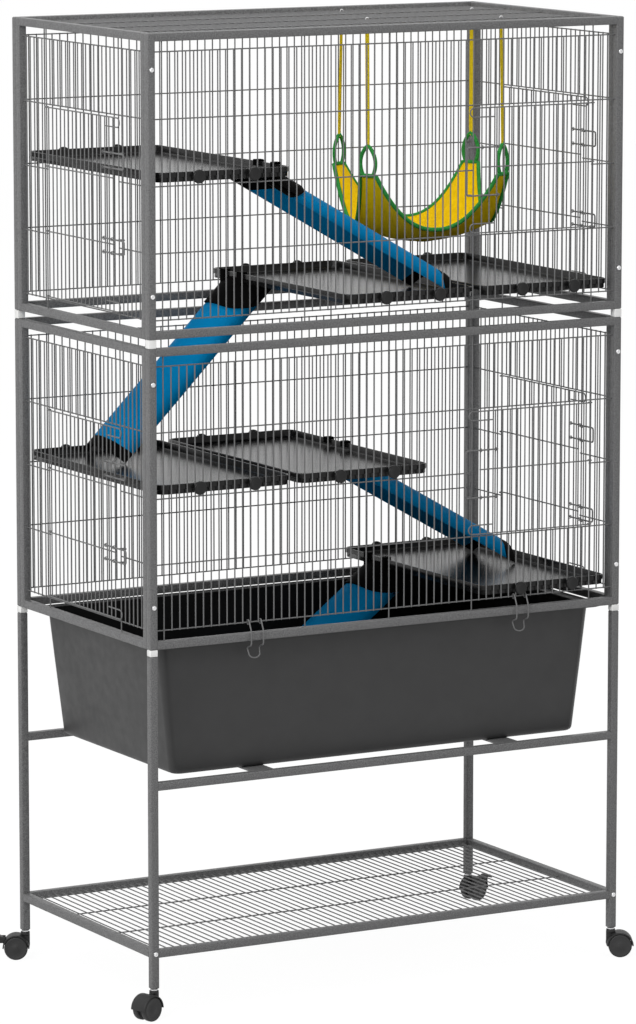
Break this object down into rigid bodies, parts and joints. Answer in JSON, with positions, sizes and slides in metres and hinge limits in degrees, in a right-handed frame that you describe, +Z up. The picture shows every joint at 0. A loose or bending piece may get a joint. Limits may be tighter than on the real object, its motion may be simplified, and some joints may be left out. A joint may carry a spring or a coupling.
{
  "type": "rodent cage",
  "caption": "Tall two-storey wire rodent cage with doors, shelves, arched ramps, a hammock and a deep tray, on a rolling stand with a wire base shelf.",
  "frame": {"origin": "on the floor under the middle of the frame", "axes": "+X to the right along the front, +Y to the back, +Z up"},
  "size_m": [0.8874, 0.4809, 1.435],
  "materials": {
    "frame_paint": "hammered dark grey powder coat",
    "wire_paint": "dark grey powder coat",
    "plug_white": "plain moulded plastic",
    "bolt_steel": "bright zinc plate",
    "clip_black": "moulded, glossy",
    "shelf_black": "moulded, glossy",
    "ramp_blue": "moulded, satin",
    "ramp_end_black": "moulded, satin",
    "hammock_yellow": "fleece",
    "strap_yellow": "woven webbing",
    "tray_grey": "fine grain",
    "caster_black": "moulded",
    "wheel_black": "moulded"
  },
  "bodies": {
    "frame": {"lower_front_panel": "frame_paint", "lower_back_panel": "frame_paint", "lower_left_panel": "frame_paint", "lower_right_panel": "frame_paint", "upper_front_panel": "frame_paint", "upper_back_panel": "frame_paint", "upper_left_panel": "frame_paint", "upper_right_panel": "frame_paint", "roof_grid": "wire_paint", "stand_legs": "frame_paint", "tray_rails": "frame_paint", "base_shelf": "frame_paint", "post_plugs": "plug_white", "frame_bolts": "bolt_steel", "shelf_1": "shelf_black", "shelf_2": "shelf_black", "shelf_3": "shelf_black", "shelf_4": "shelf_black", "shelf_5": "shelf_black", "shelf_6": "shelf_black", "shelf_clips": "clip_black", "hammock_cloth": "hammock_yellow", "hammock_straps": "strap_yellow"},
    "lower_front_door": {"lower_front_door": "wire_paint"},
    "lower_front_latch_1": {"lower_front_latch_1": "wire_paint"},
    "lower_left_door": {"lower_left_door": "wire_paint"},
    "lower_left_latch_1": {"lower_left_latch_1": "wire_paint"},
    "lower_left_latch_2": {"lower_left_latch_2": "wire_paint"},
    "lower_right_door": {"lower_right_door": "wire_paint"},
    "lower_right_latch_1": {"lower_right_latch_1": "wire_paint"},
    "lower_right_latch_2": {"lower_right_latch_2": "wire_paint"},
    "upper_front_door": {"upper_front_door": "wire_paint"},
    "upper_front_latch_1": {"upper_front_latch_1": "wire_paint"},
    "upper_left_door": {"upper_left_door": "wire_paint"},
    "upper_left_latch_1": {"upper_left_latch_1": "wire_paint"},
    "upper_left_latch_2": {"upper_left_latch_2": "wire_paint"},
    "upper_right_door": {"upper_right_door": "wire_paint"},
    "upper_right_latch_1": {"upper_right_latch_1": "wire_paint"},
    "upper_right_latch_2": {"upper_right_latch_2": "wire_paint"},
    "tray": {"tray": "tray_grey"},
    "tray_clip_left": {"tray_clip_left": "wire_paint"},
    "tray_clip_right": {"tray_clip_right": "wire_paint"},
    "ramp_1": {"ramp_1": "ramp_blue", "ramp_1_ends": "ramp_end_black"},
    "ramp_2": {"ramp_2": "ramp_blue", "ramp_2_ends": "ramp_end_black"},
    "ramp_3": {"ramp_3": "ramp_blue", "ramp_3_ends": "ramp_end_black"},
    "ramp_4": {"ramp_4": "ramp_blue", "ramp_4_ends": "ramp_end_black"},
    "caster_1_swivel": {"caster_1_body": "caster_black"},
    "caster_1_wheel_pair": {"caster_1_wheels": "wheel_black"},
    "caster_2_swivel": {"caster_2_body": "caster_black"},
    "caster_2_wheel_pair": {"caster_2_wheels": "wheel_black"},
    "caster_3_swivel": {"caster_3_body": "caster_black"},
    "caster_3_wheel_pair": {"caster_3_wheels": "wheel_black"},
    "caster_3_brake_lever": {"caster_3_brake": "caster_black"},
    "caster_4_swivel": {"caster_4_body": "caster_black"},
    "caster_4_wheel_pair": {"caster_4_wheels": "wheel_black"},
    "caster_4_brake_lever": {"caster_4_brake": "caster_black"}
  },
  "joints": [
    {"name": "lower_front_door_hinge", "type": "hinge", "parent": "frame", "child": "lower_front_door", "pos_m": [0.3492, -0.212, 0.7655], "axis": [0, 0, 1], "range_deg": [0, 120]},
    {"name": "lower_front_latch_1_slide", "type": "slide", "parent": "lower_front_door", "child": "lower_front_latch_1", "axis": [-1, 0, 0], "range_m": [0, 0.006]},
    {"name": "lower_left_door_hinge", "type": "hinge", "parent": "frame", "child": "lower_left_door", "pos_m": [-0.394, 0.1164, 0.7655], "axis": [0, 0, -1], "range_deg": [0, 120]},
    {"name": "lower_left_latch_1_slide", "type": "slide", "parent": "lower_left_door", "child": "lower_left_latch_1", "axis": [0, -1, 0], "range_m": [0, 0.006]},
    {"name": "lower_left_latch_2_slide", "type": "slide", "parent": "lower_left_door", "child": "lower_left_latch_2", "axis": [0, -1, 0], "range_m": [0, 0.006]},
    {"name": "lower_right_door_hinge", "type": "hinge", "parent": "frame", "child": "lower_right_door", "pos_m": [0.394, 0.1164, 0.7655], "axis": [0, 0, 1], "range_deg": [0, 120]},
    {"name": "lower_right_latch_1_slide", "type": "slide", "parent": "lower_right_door", "child": "lower_right_latch_1", "axis": [0, -1, 0], "range_m": [0, 0.006]},
    {"name": "lower_right_latch_2_slide", "type": "slide", "parent": "lower_right_door", "child": "lower_right_latch_2", "axis": [0, -1, 0], "range_m": [0, 0.006]},
    {"name": "upper_front_door_hinge", "type": "hinge", "parent": "frame", "child": "upper_front_door", "pos_m": [0.3492, -0.212, 1.216], "axis": [0, 0, 1], "range_deg": [0, 120]},
    {"name": "upper_front_latch_1_slide", "type": "slide", "parent": "upper_front_door", "child": "upper_front_latch_1", "axis": [-1, 0, 0], "range_m": [0, 0.006]},
    {"name": "upper_left_door_hinge", "type": "hinge", "parent": "frame", "child": "upper_left_door", "pos_m": [-0.394, 0.1164, 1.216], "axis": [0, 0, -1], "range_deg": [0, 120]},
    {"name": "upper_left_latch_1_slide", "type": "slide", "parent": "upper_left_door", "child": "upper_left_latch_1", "axis": [0, -1, 0], "range_m": [0, 0.006]},
    {"name": "upper_left_latch_2_slide", "type": "slide", "parent": "upper_left_door", "child": "upper_left_latch_2", "axis": [0, -1, 0], "range_m": [0, 0.006]},
    {"name": "upper_right_door_hinge", "type": "hinge", "parent": "frame", "child": "upper_right_door", "pos_m": [0.394, 0.1164, 1.216], "axis": [0, 0, 1], "range_deg": [0, 120]},
    {"name": "upper_right_latch_1_slide", "type": "slide", "parent": "upper_right_door", "child": "upper_right_latch_1", "axis": [0, -1, 0], "range_m": [0, 0.006]},
    {"name": "upper_right_latch_2_slide", "type": "slide", "parent": "upper_right_door", "child": "upper_right_latch_2", "axis": [0, -1, 0], "range_m": [0, 0.006]},
    {"name": "tray_slide", "type": "slide", "parent": "frame", "child": "tray", "axis": [0, 1, 0], "range_m": [0, 0.2]},
    {"name": "tray_clip_left_hinge", "type": "hinge", "parent": "frame", "child": "tray_clip_left", "pos_m": [-0.22633, -0.212, 0.5735], "axis": [-1, 0, 0], "range_deg": [0, 60]},
    {"name": "tray_clip_right_hinge", "type": "hinge", "parent": "frame", "child": "tray_clip_right", "pos_m": [0.22633, -0.212, 0.5735], "axis": [-1, 0, 0], "range_deg": [0, 60]},
    {"name": "ramp_1_lift", "type": "hinge", "parent": "frame", "child": "ramp_1", "pos_m": [-0.16317, -0.138, 1.2354], "axis": [0, -1, 0], "range_deg": [0, 15]},
    {"name": "ramp_2_lift", "type": "hinge", "parent": "frame", "child": "ramp_2", "pos_m": [-0.06963, 0.138, 1.0434], "axis": [0, 1, 0], "range_deg": [0, 15]},
    {"name": "ramp_3_lift", "type": "hinge", "parent": "frame", "child": "ramp_3", "pos_m": [0.06963, 0.065, 0.7849], "axis": [0, -1, 0], "range_deg": [0, 8]},
    {"name": "ramp_4_lift", "type": "hinge", "parent": "frame", "child": "ramp_4", "pos_m": [0.16317, 0.104, 0.5929], "axis": [0, 1, 0], "range_deg": [0, 15]},
    {"name": "caster_1_turn", "type": "hinge", "parent": "frame", "child": "caster_1_swivel", "pos_m": [-0.394, -0.212, 0.045], "axis": [0, 0, 1], "continuous": true},
    {"name": "caster_1_roll", "type": "hinge", "parent": "caster_1_swivel", "child": "caster_1_wheel_pair", "pos_m": [-0.40731, -0.21633, 0.018], "axis": [0.309, -0.9511, 0], "continuous": true},
    {"name": "caster_2_turn", "type": "hinge", "parent": "frame", "child": "caster_2_swivel", "pos_m": [0.394, -0.212, 0.045], "axis": [0, 0, 1], "continuous": true},
    {"name": "caster_2_roll", "type": "hinge", "parent": "caster_2_swivel", "child": "caster_2_wheel_pair", "pos_m": [0.40636, -0.21857, 0.018], "axis": [0.4695, 0.8829, 0], "continuous": true},
    {"name": "caster_3_turn", "type": "hinge", "parent": "frame", "child": "caster_3_swivel", "pos_m": [0.394, 0.212, 0.045], "axis": [0, 0, 1], "continuous": true},
    {"name": "caster_3_roll", "type": "hinge", "parent": "caster_3_swivel", "child": "caster_3_wheel_pair", "pos_m": [0.40731, 0.21633, 0.018], "axis": [-0.309, 0.9511, 0], "continuous": true},
    {"name": "caster_3_brake_press", "type": "hinge", "parent": "caster_3_swivel", "child": "caster_3_brake_lever", "pos_m": [0.42824, 0.22312, 0.032], "axis": [-0.309, 0.9511, 0], "range_deg": [0, 15]},
    {"name": "caster_4_turn", "type": "hinge", "parent": "frame", "child": "caster_4_swivel", "pos_m": [-0.394, 0.212, 0.045], "axis": [0, 0, 1], "continuous": true},
    {"name": "caster_4_roll", "type": "hinge", "parent": "caster_4_swivel", "child": "caster_4_wheel_pair", "pos_m": [-0.40636, 0.21857, 0.018], "axis": [-0.4695, -0.8829, 0], "continuous": true},
    {"name": "caster_4_brake_press", "type": "hinge", "parent": "caster_4_swivel", "child": "caster_4_brake_lever", "pos_m": [-0.42579, 0.2289, 0.032], "axis": [-0.4695, -0.8829, 0], "range_deg": [0, 15]}
  ]
}
